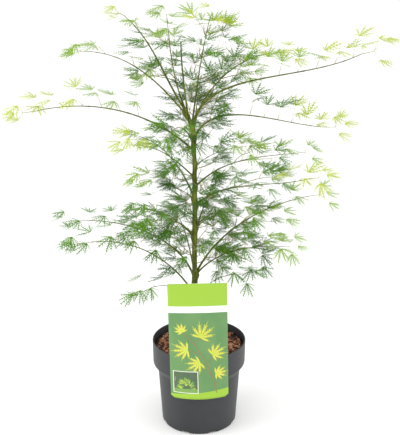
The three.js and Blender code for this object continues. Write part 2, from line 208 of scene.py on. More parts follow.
print("a closed ring of three rows:", len(row_faces(3, 8)), "faces")


# %% Geometry Nodes trees
def new_tree(name, sockets):
    """An empty tree with named inputs: (tree, what the inputs give, the output's node)."""
    tree = bpy.data.node_groups.new(name, "GeometryNodeTree")
    for label, kind in {"Geometry": "Geometry", **sockets}.items():
        tree.interface.new_socket(label, in_out="INPUT", socket_type="NodeSocket" + kind)
    tree.interface.new_socket("Geometry", in_out="OUTPUT", socket_type="NodeSocketGeometry")
    return tree, tree.nodes.new("NodeGroupInput").outputs, tree.nodes.new("NodeGroupOutput")


def close_tree(tree, copies, given, result):
    """The end of every tree: its copies made real, then coated with the finish."""
    real = add(tree, "GeometryNodeRealizeInstances", None, {"Geometry": copies})
    coated = add(tree, "GeometryNodeSetMaterial", None, {"Geometry": real, "Material": given["Finish"]})
    plug(tree, result, {"Geometry": coated})
    print(tree.name, "has", len(tree.nodes), "nodes")


print("trees before the first one:", len(bpy.data.node_groups))


# %% From trees to pieces
def carrier(name, points, edges, attributes):
    """Points in millimetres that carry values for a tree to read, each as name: (type, values)."""
    mesh = bpy.data.meshes.new(name)
    mesh.from_pydata((np.array(points) * MM).tolist(), edges, [])
    for label, (kind, values) in attributes.items():
        data = mesh.attributes.new(label, kind, "POINT").data
        data.foreach_set("vector" if kind == "FLOAT_VECTOR" else "value", np.ravel(values))
    return in_scene(name, mesh)


def grown(name, source, tree, inputs):
    """The plain mesh that a Geometry Nodes tree makes of a source object, which is then removed."""
    modifier = source.modifiers.new("grow", "NODES")
    modifier.node_group = tree
    for item in tree.interface.items_tree:
        if item.in_out == "INPUT" and item.name in inputs:
            modifier[item.identifier] = inputs[item.name]
    bpy.context.view_layer.update()
    depsgraph = bpy.context.evaluated_depsgraph_get()
    mesh = bpy.data.meshes.new_from_object(source.evaluated_get(depsgraph), depsgraph=depsgraph)
    mesh.name = name
    source.modifiers.remove(modifier)
    bpy.data.objects.remove(source)
    mesh.calc_loop_triangles()
    print(name, len(mesh.loop_triangles), "triangles")
    return in_scene(name, mesh)


def hidden_shapes(name, shapes):
    """A collection of small meshes, unlinked from the scene, for a tree to pick from."""
    collection = bpy.data.collections.new(name)
    for i, (points, faces) in enumerate(shapes):
        mesh = bpy.data.meshes.new(f"{name}_{i}")
        mesh.from_pydata([tuple(p) for p in points], [], faces)
        mesh.polygons.foreach_set("use_smooth", [True] * len(mesh.polygons))
        collection.objects.link(bpy.data.objects.new(f"{name}_{i}", mesh))
    return collection


print("helpers ready")

# %% [markdown]
# ## The pot
# The real pot is injection-moulded from recycled polypropylene: a deep band under the rim for the
# lifting machine, a slope in to the tapering body, and drain notches cut across its foot. It could be
# made with the Screw modifier from a drawn profile. Here the profile is a short list of corners, each
# rounded as a mould tool rounds it, and turned by arithmetic, because the notches are then just points
# of the same mesh that are lifted.

# %% Pot profile
POT_HEIGHT, RIM, BAND_EDGE, SHOULDER, FOOT, WALL, POT_FLOOR = 180, 95, 94.3, 84, 76.5, 2.4, 9
BAND_BOTTOM, SHOULDER_TOP = 132, 116


def softened(corners, reach):
    """A profile with each inner corner rounded over a reach, which shrinks where a side is short."""
    corners = [np.array(c, float) for c in corners]
    line = [corners[0]]
    for before, corner, after in zip(corners, corners[1:], corners[2:]):
        back, ahead = before - corner, after - corner
        near = min(reach, np.linalg.norm(back) * 0.45, np.linalg.norm(ahead) * 0.45)
        start = corner + back / np.linalg.norm(back) * near
        end = corner + ahead / np.linalg.norm(ahead) * near
        for t in (0, 0.25, 0.5, 0.75, 1):
            line.append(start * (1 - t) ** 2 + corner * 2 * t * (1 - t) + end * t**2)
    return [*line, corners[-1]]


NOTCH_START, NOTCH_HEIGHT, NOTCH_WIDTH, NOTCHES = 61, 5, 15, 8
RING_INSIDE, RAISED = 46, 1.2
pot_profile = [
    *softened([(0, RAISED), (RING_INSIDE, RAISED), (RING_INSIDE + 2, 0), (NOTCH_START - 0.6, 0)], 1),
    *softened([(NOTCH_START, 0), (FOOT - 0.4, 0), (FOOT + 0.4, 10), (SHOULDER, SHOULDER_TOP)], 4),
    *softened(
        [
            (SHOULDER + 0.02, SHOULDER_TOP + 0.3),
            (SHOULDER + 0.6, SHOULDER_TOP + 1.5),
            (BAND_EDGE - 0.5, BAND_BOTTOM - 1),
            (BAND_EDGE, BAND_BOTTOM + 1.5),
            (RIM, POT_HEIGHT),
            (RIM - WALL, POT_HEIGHT),
            (BAND_EDGE - WALL, BAND_BOTTOM + 1),
            (SHOULDER - WALL, SHOULDER_TOP),
            (FOOT - WALL, POT_FLOOR),
            (0, POT_FLOOR),
        ],
        1.1,
    ),
]
print(len(pot_profile), "points in the pot's profile")


# %% Turn the pot
def turned(profile, segments):
    """Points and faces of a profile turned round the Z axis. Its two ends lie on the axis."""
    turns = [2 * math.pi * k / segments for k in range(segments)]
    points = [(0, 0, profile[0][1])]
    for radius, height in profile[1:-1]:
        points += [(radius * math.cos(turn), radius * math.sin(turn), height) for turn in turns]
    points.append((0, 0, profile[-1][1]))
    faces = row_faces(len(profile) - 2, segments, 1)
    end = len(points) - 1
    for k in range(segments):
        k2 = (k + 1) % segments
        faces += [(0, 1 + k2, 1 + k), (end - segments + k, end - segments + k2, end)]
    return np.array(points), faces


pot_points, pot_faces = turned(pot_profile, 192)
pot_turn = np.arctan2(pot_points[:, 1], pot_points[:, 0])
pot_radius = np.hypot(pot_points[:, 0], pot_points[:, 1])
notch_turn = (pot_turn / (2 * math.pi) * NOTCHES - 0.5) % 1
from_notch = np.minimum(notch_turn, 1 - notch_turn) * 2 * math.pi / NOTCHES * pot_radius
in_notch = (from_notch < NOTCH_WIDTH / 2) & (pot_radius >= NOTCH_START - 0.1)
in_notch &= pot_points[:, 2] < NOTCH_HEIGHT
pot_points[in_notch, 2] = NOTCH_HEIGHT
print(int(in_notch.sum()), "points lifted for the drain notches")

# %% [markdown]
# ### Black polypropylene, moulded
# Recycled polypropylene is a soft charcoal rather than a true black. The mould leaves it satin, with
# faint cloudy flow marks and a fine grain that breaks up the highlight. IOR of polypropylene is 1.49.
# The marks are two noises: a slow one for the colour and a fine one, of about 1.5 mm, for the grain.
# The real grain is finer than a tenth of a millimetre, so it is drawn coarser here to show at all.

# %% Pot finish
polypropylene, tree, shader = finish_named("moulded_black_polypropylene", {"IOR": 1.49})
place = add(tree, "ShaderNodeTexCoord").outputs["Object"]
clouds = add(tree, "ShaderNodeTexNoise", {"Scale": 14, "Detail": 5}, {"Vector": place})
tones = add(tree, "ShaderNodeValToRGB", None, {"Fac": clouds})
lay_stops(tones, [(0.32, "232427"), (0.72, "303135")])
satin = add(tree, "ShaderNodeMapRange", {"To Min": 0.42, "To Max": 0.56}, {"Value": clouds})
grain = add(tree, "ShaderNodeTexNoise", {"Scale": 650, "Detail": 3}, {"Vector": place})
bump = add(tree, "ShaderNodeBump", {"Strength": 0.12, "Distance": 0.0004}, {"Height": grain})
plug(tree, shader, {"Base Color": tones, "Roughness": satin, "Normal": bump})
pot = piece_from("nursery_pot", pot_points, pot_faces, [polypropylene])

# %% [markdown]
# ## Compost and bark mulch
# Growers top the compost with chips of pine bark, one to two centimetres long, against drying out and
# weeds. The compost is a bumpy plug. The chips repeat, so Geometry Nodes scatter them: points spread on
# a disc pick one of six chip shapes at random, turned and scaled at random, with a fixed seed. Each
# chip carries a random tone, which its finish reads, since no two flakes weather alike.

# %% Compost plug
COMPOST_TOP, COMPOST_EDGE, COMPOST_FLOOR = 165, 90, 118
LUMP_SIZE, LUMP_HEIGHT, CRUMB_HEIGHT = 20, 2.2, 1.2
wall_side = [(60, COMPOST_FLOOR), (80.6, COMPOST_FLOOR), (91.2, 136), (91.5, COMPOST_TOP - 2)]
compost_profile = [(0, COMPOST_FLOOR), *softened(wall_side, 1)]
compost_profile += [(COMPOST_EDGE * s, COMPOST_TOP) for s in (0.97, 0.85, 0.7, 0.55, 0.4, 0.25, 0.12)]
compost_points, compost_faces = turned([*compost_profile, (0, COMPOST_TOP)], 72)
for point in compost_points:
    if point[2] > COMPOST_TOP - 3:
        lump = Vector(point) / LUMP_SIZE
        point[2] += LUMP_HEIGHT * noise.noise(lump) + CRUMB_HEIGHT * noise.noise(lump * 4)

# Damp peat is the darkest thing in the pot, quite matt, and broken up by crumbs of about 4 mm.
compost_finish, tree, shader = finish_named("dark_peaty_compost", {"Roughness": 0.95})
place = add(tree, "ShaderNodeTexCoord").outputs["Object"]
crumbs = add(tree, "ShaderNodeTexNoise", {"Scale": 240, "Detail": 8, "Roughness": 0.7}, {"Vector": place})
tones = add(tree, "ShaderNodeValToRGB", None, {"Fac": crumbs})
lay_stops(tones, [(0.35, "170e0a"), (0.75, "4a2e20")])
bump = add(tree, "ShaderNodeBump", {"Strength": 1, "Distance": 0.0015}, {"Height": crumbs})
plug(tree, shader, {"Base Color": tones, "Normal": bump})
compost = piece_from("compost", compost_points, compost_faces, [compost_finish])


# %% Chips and their finish
CHIP_HALF_SIZE, CHIP_POINTS, CHIP_TILT = (7.5, 4.0, 1.5), 11, 0.7


def chip(dice):
    """A flat splinter of bark: the faces round a handful of points in a long flat ellipsoid."""
    soft = bmesh.new()
    for _ in range(CHIP_POINTS):
        out = dice.normal(size=3)
        out /= np.linalg.norm(out)
        soft.verts.new(out * CHIP_HALF_SIZE * dice.uniform(0.75, 1.1, 3) * MM)
    bmesh.ops.convex_hull(soft, input=soft.verts)
    for vert in [v for v in soft.verts if not v.link_faces]:
        soft.verts.remove(vert)
    soft.verts.index_update()
    points = [tuple(v.co) for v in soft.verts]
    faces = [tuple(v.index for v in f.verts) for f in soft.faces]
    soft.free()
    return points, faces


chips = hidden_shapes("chip", [chip(np.random.default_rng(40 + i)) for i in range(6)])

# Weathered pine bark is matt and red-brown. Its fibres, about 3 mm, streak each flake's own tone.
bark_mulch, tree, shader = finish_named("weathered_pine_bark", {"Roughness": 0.88})
place = add(tree, "ShaderNodeTexCoord").outputs["Object"]
tone = add(tree, "ShaderNodeAttribute", {"attribute_name": "tone"}).outputs["Fac"]
fibre = add(tree, "ShaderNodeTexNoise", {"Scale": 320, "Detail": 6, "Roughness": 0.65}, {"Vector": place})
mixed = add(tree, "ShaderNodeMath", {"operation": "MULTIPLY_ADD", 1: 0.62}, {0: tone, 2: fibre})
tones = add(tree, "ShaderNodeValToRGB", None, {"Fac": mixed})
lay_stops(tones, [(0.28, "1d0d07"), (0.55, "6a3c29"), (0.8, "94593f"), (1, "c99272")])
bump = add(tree, "ShaderNodeBump", {"Strength": 0.7, "Distance": 0.001}, {"Height": fibre})
plug(tree, shader, {"Base Color": tones, "Normal": bump})

# %% Scatter tree
scatter, given, result = new_tree(
    "scatter_mulch",
    {
        "Chips": "Collection",
        "Chips per square metre": "Float",
        "Smallest": "Float",
        "Largest": "Float",
        "Seed": "Int",
        "Finish": "Material",
    },
)
spread = add(
    scatter,
    "GeometryNodeDistributePointsOnFaces",
    None,
    {"Mesh": given["Geometry"], "Density": given["Chips per square metre"], "Seed": given["Seed"]},
)
kinds = add(
    scatter,
    "GeometryNodeCollectionInfo",
    {"Separate Children": True, "Reset Children": True},
    {"Collection": given["Chips"]},
)
tumble = add(
    scatter,
    "FunctionNodeRandomValue",
    {"data_type": "FLOAT_VECTOR", "Min": (-CHIP_TILT, -CHIP_TILT, 0), "Max": (CHIP_TILT, CHIP_TILT, 6.28)},
    {"Seed": given["Seed"]},
)
grade = add(
    scatter,
    "FunctionNodeRandomValue",
    {"data_type": "FLOAT"},
    {"Min": given["Smallest"], "Max": given["Largest"]},
)
placed = add(
    scatter,
    "GeometryNodeInstanceOnPoints",
    {"Pick Instance": True},
    {"Points": spread, "Instance": kinds, "Rotation": tumble, "Scale": grade},
)
shade = add(scatter, "FunctionNodeRandomValue", {"data_type": "FLOAT", "Seed": 9})
toned = add(
    scatter,
    "GeometryNodeStoreNamedAttribute",
    {"data_type": "FLOAT", "domain": "INSTANCE", "Name": "tone"},
    {"Geometry": placed, "Value": shade},
)
close_tree(scatter, toned, given, result)

# %% Scatter the mulch
MULCH_REACH, BED_SIDES = 86, 48
bed = [(0, 0, COMPOST_TOP + 1.5)]
for turn in np.linspace(0, 2 * math.pi, BED_SIDES + 1)[:-1]:
    bed.append((MULCH_REACH * math.cos(turn), MULCH_REACH * math.sin(turn), COMPOST_TOP + 0.8))
bed_faces = [(0, 1 + k, 1 + (k + 1) % BED_SIDES) for k in range(BED_SIDES)]
amounts = {"Chips per square metre": 36000.0, "Smallest": 0.5, "Largest": 1.2, "Seed": 4}
mulch = grown(
    "bark_mulch",
    piece_from("mulch_bed", bed, bed_faces, []),
    scatter,
    {"Chips": chips, "Finish": bark_mulch, **amounts},
)

# %% [markdown]
# ## The plant card
# A nursery's card is printed polypropylene sheet, 0.8 mm thick, stiff, glossy, and bowed a little round
# the pot. It could be a plane with a Solidify modifier, but the bow is a formula, so its points come
# straight from it. The print stays generic: a lime head, a white strip, a green field and a lime foot.
# The fields are drawn by the finish from the card's own UV map, whose V runs up the sheet. The sprig
# and the small garden panel are a thin printed layer, cut as small faces that stand a fraction of a
# millimetre proud, so that their edges stay crisp.

# %% Card sheet
CARD_WIDTH, CARD_HEIGHT, CARD_SHEET, CARD_BOTTOM = 115, 250, 0.8, 91.5
CARD_SHIFT, CARD_LEAN, CARD_BOW, CARD_CORNER = -1, -1.2, 14, 7
CARD_FRONT = RIM + 0.3 + CARD_SHEET / 2


def on_card(across, up, proud=0.0):
    """The place of a spot on the card, from its middle and its lower edge, and how proud it stands."""
    share = 2 * across / CARD_WIDTH
    down = 1 - up / CARD_HEIGHT
    lean = math.radians(CARD_LEAN)
    x, z = across, up - CARD_HEIGHT / 2
    return (
        x * math.cos(lean) + z * math.sin(lean) + CARD_SHIFT,
        CARD_BOW * down * share**2 - CARD_FRONT - CARD_SHEET / 2 - proud,
        z * math.cos(lean) - x * math.sin(lean) + CARD_BOTTOM + CARD_HEIGHT / 2,
    )


COLUMNS, ROWS = 24, 50
card_spots = []
for row in range(ROWS + 1):
    up = CARD_HEIGHT * row / ROWS
    inset = 0.0
    if up < CARD_CORNER:
        inset = CARD_CORNER - math.sqrt(CARD_CORNER**2 - (CARD_CORNER - up) ** 2)
    for column in range(COLUMNS + 1):
        card_spots.append(((2 * column / COLUMNS - 1) * (CARD_WIDTH / 2 - inset), up))
count = len(card_spots)
card_points = [on_card(a, u, proud) for proud in (0, -CARD_SHEET) for a, u in card_spots]
stride = COLUMNS + 1
front_faces = row_faces(ROWS + 1, stride, wrapped=False)
back_faces = [tuple(count + k for k in reversed(face)) for face in front_faces]
rim_loop = [*range(COLUMNS), *(r * stride + COLUMNS for r in range(ROWS))]
rim_loop += [ROWS * stride + c for c in range(COLUMNS, 0, -1)]
rim_loop += [r * stride for r in range(ROWS, 0, -1)]
edge_faces = [(b, a, a + count, b + count) for a, b in zip(rim_loop, [*rim_loop[1:], rim_loop[0]])]
print(len(front_faces), "faces on the card's front")

# %% [markdown]
# ### Printed card, glossy
# Offset print under a clear varnish: even colours and a roughness of about 0.3, so that the bow of the
# sheet shows in its reflections. Constant steps of a colour ramp on V make the fields' straight edges.

# %% Card finish
STRIP_FROM, HEAD_FROM, FOOT_TO, FOOT_RISE = 0.752, 0.806, 0.035, 0.045
HEAD_LIME, COLOUR_MIX = "97bf32", {"data_type": "RGBA"}

card_print, tree, shader = finish_named("glossy_printed_card", {"Roughness": 0.32, "IOR": 1.49})
printed = add(tree, "ShaderNodeUVMap", {"uv_map": "print"})
axes = add(tree, "ShaderNodeSeparateXYZ", None, {"Vector": printed}).outputs
fields = add(tree, "ShaderNodeValToRGB", None, {"Fac": axes["Y"]})
fields.color_ramp.interpolation = "CONSTANT"
lay_stops(fields, [(0, "5a8450"), (STRIP_FROM, "f6f7f2"), (HEAD_FROM, HEAD_LIME)])
haze = add(tree, "ShaderNodeTexNoise", {"Scale": 3.2, "Detail": 2}, {"Vector": printed})
greens = {**COLOUR_MIX, "A": paint("4a7f4c"), "B": paint("759a5c")}
soft_green = add(tree, "ShaderNodeMix", greens, {"Factor": haze})
is_field = add(tree, "ShaderNodeMath", {"operation": "LESS_THAN", 1: STRIP_FROM}, {0: axes["Y"]})
with_haze = add(tree, "ShaderNodeMix", COLOUR_MIX, {"Factor": is_field, "A": fields, "B": soft_green})
wave = add(
    tree, "ShaderNodeMath", {"operation": "MULTIPLY_ADD", 1: FOOT_RISE, 2: FOOT_TO}, {0: axes["X"]}
)
is_foot = add(tree, "ShaderNodeMath", {"operation": "LESS_THAN"}, {0: axes["Y"], 1: wave})
foot_lime = {**COLOUR_MIX, "B": paint(HEAD_LIME)}
whole_print = add(tree, "ShaderNodeMix", foot_lime, {"Factor": is_foot, "A": with_haze})
plug(tree, shader, {"Base Color": whole_print})

# The unprinted back and the cut edges are the bare sheet: off-white, and less shiny than the varnish.
card_back, *_ = finish_named("plain_white_card", {"Base Color": paint("eceee8"), "Roughness": 0.45})
print("the white strip is", round((HEAD_FROM - STRIP_FROM) * CARD_HEIGHT, 1), "mm high")

# %% Card with its print
card = piece_from(
    "plant_card_printed", card_points, front_faces + back_faces + edge_faces, [card_print, card_back]
)
for k, polygon in enumerate(card.data.polygons):
    polygon.material_index = 0 if k < len(front_faces) else 1
    polygon.use_smooth = k < len(front_faces) + len(back_faces)
uv_layer = card.data.uv_layers.new(name="print")
for loop in card.data.loops:
    across, up = card_spots[loop.vertex_index % count]
    uv_layer.data[loop.index].uv = (across / CARD_WIDTH + 0.5, up / CARD_HEIGHT)

# %% Sprig on the card
SPRIG_STEM = [(34, 12), (27, 46), (14, 82), (-6, 118), (-30, 148)]
SPRIG_LEAVES = [
    # across, up, heading in degrees, size
    (-31, 148, 122, 22),
    (4, 136, 66, 40),
    (-22, 109, 186, 36),
    (27, 98, 30, 33),
    (2, 82, 212, 34),
    (33, 56, 6, 26),
]
LEAF_FAN = [(0, 1), (27, 0.94), (-27, 0.94), (56, 0.8), (-56, 0.8), (92, 0.55), (-92, 0.55)]
INKS = [
    # name, colour
    ("ink_yellow_green", "c2d028"),
    ("ink_brown", "8a6a34"),
    ("ink_pale_lime", "dcd63c"),
    ("ink_cream", "e9ebd8"),
    ("ink_leaf_green", "6f9a3a"),
    ("ink_dark_green", "35582a"),
]
YELLOW_GREEN, BROWN, PALE_LIME, CREAM, LEAF_GREEN, DARK_GREEN = range(len(INKS))
sprig_points, sprig_faces, sprig_inks = [], [], []


def print_strip(start, end, widths, ink, proud):
    """A printed strip, in faces so short that they follow the bow of the card."""
    start, end = np.array(start, float), np.array(end, float)
    length = np.linalg.norm(end - start)
    beside = np.array([start[1] - end[1], end[0] - start[0]]) / length
    first, steps = len(sprig_points), max(4, round(length / 4))
    for n in range(steps + 1):
        middle = start + (end - start) * n / steps
        half = beside * np.interp(n / steps, np.linspace(0, 1, len(widths)), widths) / 2
        sprig_points.extend([on_card(*(middle + half), proud), on_card(*(middle - half), proud)])
    for n in range(first, first + 2 * steps, 2):
        sprig_faces.append((n + 1, n + 3, n + 2, n))
        sprig_inks.append(ink)


def print_lobe(foot, turn, length, width, ink, proud):
    """A lance-shaped lobe that points the given way, in radians."""
    tip = np.array(foot) + np.array([math.cos(turn), math.sin(turn)]) * length
    print_strip(foot, tip, [width * 0.4, width, width * 0.8, width * 0.4, 0.1], ink, proud)
    return tip


def stem_at(t):
    """The place on the sprig's stem, where each whole number is one of its points."""
    return [np.interp(t, range(len(SPRIG_STEM)), [point[k] for point in SPRIG_STEM]) for k in (0, 1)]


for t in np.linspace(0, len(SPRIG_STEM) - 1, 17)[:-1]:
    print_strip(stem_at(t), stem_at(t + 0.25), [1.7], BROWN, 0.15)
for n, (across, up, turn, size) in enumerate(SPRIG_LEAVES):
    print_strip(stem_at(min(3.9 - 0.72 * n, 3.5)), (across, up), [1.1], BROWN, 0.17)
    for m, (angle, share) in enumerate(LEAF_FAN):
        along = math.radians(turn + angle)
        tip = print_lobe((across, up), along, size * share, 3.8, YELLOW_GREEN, 0.2 + 0.004 * m)
        for tooth in (0.25, 0.4, 0.55):
            foot = np.array([across, up]) * (1 - tooth) + tip * tooth
            for hand in (0.5, -0.5):
                print_lobe(foot, along + hand, size * share * 0.24, 1.6, PALE_LIME, 0.24)
print(len(sprig_faces), "faces in the sprig")

# %% Garden panel
PANEL_LEFT, PANEL_BOTTOM, PANEL_RIGHT, PANEL_TOP, PANEL_EDGE = -52, 13, -2, 62, 1.5
BUSH_LEAVES, BUSH_WIDTH, BUSH_HEIGHT, BUSH_LEAF = 90, 15, 22, (7, 2.4)


def print_panel(inset, top, ink, proud):
    """A block of the panel, set in from its left, bottom and right edges, up to a height."""
    bottom = PANEL_BOTTOM + inset
    middle = (bottom + top) / 2
    ends = (PANEL_LEFT + inset, middle), (PANEL_RIGHT - inset, middle)
    print_strip(*ends, [top - bottom], ink, proud)


print_panel(0, PANEL_TOP, CREAM, 0.28)
print_panel(PANEL_EDGE, PANEL_TOP - PANEL_EDGE, DARK_GREEN, 0.34)
print_panel(PANEL_EDGE, PANEL_BOTTOM + 10, LEAF_GREEN, 0.4)
garden_dice = np.random.default_rng(3)
for n in range(BUSH_LEAVES):
    angle = math.pi * garden_dice.uniform(0.02, 0.98)
    reach = garden_dice.uniform(0.1, 1) ** 0.5
    across = (PANEL_LEFT + PANEL_RIGHT) / 2 + BUSH_WIDTH * reach * math.cos(angle)
    foot = (across, PANEL_BOTTOM + 9 + BUSH_HEIGHT * reach * math.sin(angle))
    ink = YELLOW_GREEN if n % 4 == 3 else LEAF_GREEN
    print_lobe(foot, angle + garden_dice.uniform(-0.6, 0.6), *BUSH_LEAF, ink, 0.44 + 0.001 * n)

# Printing ink takes the varnish's gloss. Its dots are finer than the eye can part, so a touch of
# colour noise, drawn far coarser at 8 mm, stands for them.
sprig_finishes = []
for name, code in INKS:
    ink, tree, shader = finish_named(name, {"Roughness": 0.32})
    place = add(tree, "ShaderNodeTexCoord").outputs["Object"]
    speck = add(tree, "ShaderNodeTexNoise", {"Scale": 120, "Detail": 2}, {"Vector": place})
    faint_dots = {**COLOUR_MIX, "Factor": 0.08, "A": paint(code)}
    shades = add(tree, "ShaderNodeMix", faint_dots, {"B": speck.outputs["Color"]})
    plug(tree, shader, {"Base Color": shades})
    sprig_finishes.append(ink)
sprig = piece_from("card_sprig_print", sprig_points, sprig_faces, sprig_finishes, smooth=False)
sprig.data.polygons.foreach_set("material_index", sprig_inks)

# %% [markdown]
# ## The plant's rule
# The whole plant grows from a short table of limbs. Each limb leaves the trunk at a height, heads
# for a compass turn, climbs, arches over and runs to its tip. The numbers after them say how this plant
# looks: where its leaves start, how thick they stand, how they are held, and how light their green is.
# Growth is arithmetic on paths, so it is plain Python, and Geometry Nodes then turn the paths into wood
# and the points into leaves.


# %% Paths
def path_along(points):
    """A path through points: (points, share travelled at each, length)."""
    points = np.array(points, float)
    travelled = np.concatenate([[0], np.cumsum(np.linalg.norm(np.diff(points, axis=0), axis=1))])
    return points, travelled / travelled[-1], travelled[-1]


def spot(path, share):
    return np.array([np.interp(share, path[1], path[0][:, k]) for k in range(3)])


def way(path, share):
    ahead = spot(path, min(share + 0.02, 1)) - spot(path, max(share - 0.02, 0))
    return ahead / np.linalg.norm(ahead)


def bezier(corners, pieces=48):
    """A Bezier curve through its corners, by repeated halfway lines."""
    t = np.linspace(0, 1, pieces + 1)[:, None]
    rows = [np.repeat(np.array(corner, float)[None], pieces + 1, 0) for corner in corners]
    while len(rows) > 1:
        rows = [a * (1 - t) + b * t for a, b in zip(rows, rows[1:])]
    return path_along(rows[0])


print("a straight path of", path_along([(0, 0, 0), (30, 40, 0)])[2], "mm")


# %% Smooth curves
def smooth_line(knots, pieces=24):
    """A smooth path through knots (a centripetal Catmull-Rom curve, which never loops)."""
    knots = [np.array(k, float) for k in knots]
    knots = [2 * knots[0] - knots[1], *knots, 2 * knots[-1] - knots[-2]]
    line = []
    for k in range(len(knots) - 3):
        p0, p1, p2, p3 = knots[k : k + 4]
        d0, d1, d2 = (np.linalg.norm(b - a) ** 0.5 for a, b in ((p0, p1), (p1, p2), (p2, p3)))
        leave = ((p1 - p0) / d0 - (p2 - p0) / (d0 + d1) + (p2 - p1) / d1) * d1
        arrive = ((p2 - p1) / d1 - (p3 - p1) / (d1 + d2) + (p3 - p2) / d2) * d1
        for t in np.linspace(0, 1, pieces, endpoint=False):
            bend = (3 * (p2 - p1) - 2 * leave - arrive) * t**2 + (2 * (p1 - p2) + leave + arrive) * t**3
            line.append(p1 + leave * t + bend)
    return path_along([*line, knots[-2]])


UP = np.array([0, 0, 1.0])


def heading(turn, climb):
    """A unit vector at a compass turn and an angle above the level, in degrees."""
    turn, climb = math.radians(turn), math.radians(climb)
    level = math.cos(climb)
    return np.array([level * math.cos(turn), level * math.sin(turn), math.sin(climb)])


GROUND = 160.3
TRUNK = [
    (-5, 0, 0),
    (-5, 0, 20),
    (-6, 2, 75),
    (-9, 0, 200),
    (-8, -2, 320),
    (-11, 0, 440),
    (-18, 0, 478),
    (-27, 0, 501),
]
trunk_path = smooth_line([(x, y, z + GROUND) for x, y, z in TRUNK])
print("trunk is", round(trunk_path[2]), "mm long")

# %% Limbs
LIMBS = [
    # name, turn, height, reach, rise, climb, level, radius, bare, spread,
    # then spurs, along, shoots, perk, tilt, tint
    # The tint column sets a limb's green: partly the leaves' own colour, partly painted shade and light.
    ("long_left", 188, 577, 298, 88, 46, -12, 2.4, 0.34, 40, 0, 0.85, 0.05, 0.5, 12, 1.5),
    ("long_right", -6, 615, 312, 155, 87, 28, 2.6, 0.44, 50, 0, 0.9, 0, 1, 34, 1.6),
    ("arch_right", 15, 598, 270, 9, 70, -6, 2.2, 0.4, 45, 0, 1.1, 0, 0.6, 24, 1.9),
    ("top_left", 165, 655, 120, 176, 54, 38, 2.1, 0.75, 25, 0.2, 0.9, 0.3, 0.3, 14, 1.9),
    ("upper_left", 198, 643, 186, 136, 51, 8, 2, 0.5, 40, 0, 0.6, 0.1, 0.2, 6, 0.3),
    ("leader", 150, 652, 42, 176, 62, 84, 2, 0.3, 45, 0.2, 1.2, 0.65, 0.2, 18, 0.8),
    ("steep_right", 62, 622, 75, 200, 74, 60, 2.1, 0.4, 55, 2.2, 0.45, 0.9, 0.3, 24, 0.9),
    ("top_right", 24, 606, 178, 148, 88, -4, 2, 0.4, 55, 0.6, 0.75, 0.4, 0.1, 26, 0.9),
    ("mid_left", 214, 524, 128, 85, 45, 12, 1.8, 0.4, 45, 0, 0.2, 0, 0.3, 4, 1),
    ("mid_right", 20, 505, 218, 48, 43, 0, 1.9, 0.3, 60, 0.2, 0.35, 0.3, 0.3, 16, 1),
    ("tier_right", -20, 467, 228, 79, 47, 20, 1.9, 0.3, 60, 0.2, 0.7, 0.35, 0.2, 20, 1.4),
    ("rising_right", 10, 318, 233, 155, 66, 8, 2.4, 0.4, 60, 1.2, 0.3, 0.2, 0.3, 18, 1),
    ("low_right", -16, 317, 174, 82, 56, 4, 2, 0.32, 60, 0.2, 0.7, 0.25, 0.2, 0, 0.8),
    ("low_left", 170, 300, 232, 120, 82, -8, 2.3, 0.34, 55, 0.6, 0.62, 0.12, 0.5, 4, 0.8),
    ("lowest_left", 197, 272, 214, 140, 63, -2, 2.2, 0.38, 50, 0.3, 0.62, 0.05, 0.4, 0, 0.6),
    ("back_high", 86, 588, 175, 76, 60, 4, 2, 0.34, 55, 1.1, 0.15, 0.1, 0.3, 14, 0.9),
    ("back_mid", 124, 478, 204, 84, 54, -4, 2.1, 0.34, 58, 0.4, 0.2, 0.1, 0.2, 10, 1.2),
    ("back_right", 70, 398, 205, 84, 54, -4, 2.1, 0.34, 60, 1.5, 0.25, 0.3, 0.2, 4, 1.1),
    ("back_low", 104, 312, 195, 82, 56, -6, 2.1, 0.34, 60, 1.6, 0.15, 0.25, 0.2, 0, 0.9),
    ("front_right", -52, 420, 140, 62, 50, -4, 1.8, 0.32, 50, 0.3, 0.3, 0.2, 0.2, 18, 0.6),
    ("front_high", 250, 585, 120, 58, 58, -10, 1.8, 0.38, 45, 0.4, 0.25, 0, 0.2, 20, -0.1),
    ("front_left", 228, 398, 118, 66, 52, -4, 1.8, 0.34, 50, 0.3, 0.25, 0.4, 0.2, 12, 0.5),
    ("sprig_left", 212, 262, 112, 50, 47, -16, 1.6, 0.42, 25, 0, 0.8, 0.2, 0, -12, -0.2),
    ("sprig_right", -24, 260, 94, 76, 68, 8, 1.6, 0.42, 25, 0, 0.5, 0.1, 0.2, -6, 0.1),
    ("tuft_left", 176, 480, 90, 34, 40, 0, 1.5, 0, 40, 0, 0.4, 0, 0.2, 4, 0.6),
    ("tuft_right", -8, 545, 90, 44, 46, 8, 1.5, 0, 40, 0, 0.4, 0.1, 0.2, 14, 0.6),
    ("tuft_low_left", 172, 404, 100, 52, 46, 4, 1.5, 0, 45, 0, 0.4, 0.1, 0.2, -4, 0.5),
    ("tuft_low_right", 6, 418, 95, 36, 48, 0, 1.5, 0, 45, 0, 0.5, 0.2, 0.2, 4, 0.9),
    ("snag", 180, 648, 12, 140, 84, 90, 1.9, 1, 0, 0, 0, 0, 0, 0, 0),
]
KEYS = "name turn height reach rise climb level radius bare spread spurs along shoots perk tilt tint"
limbs = [dict(zip(KEYS.split(), row)) for row in LIMBS]
print(len(limbs), "limbs in the table")

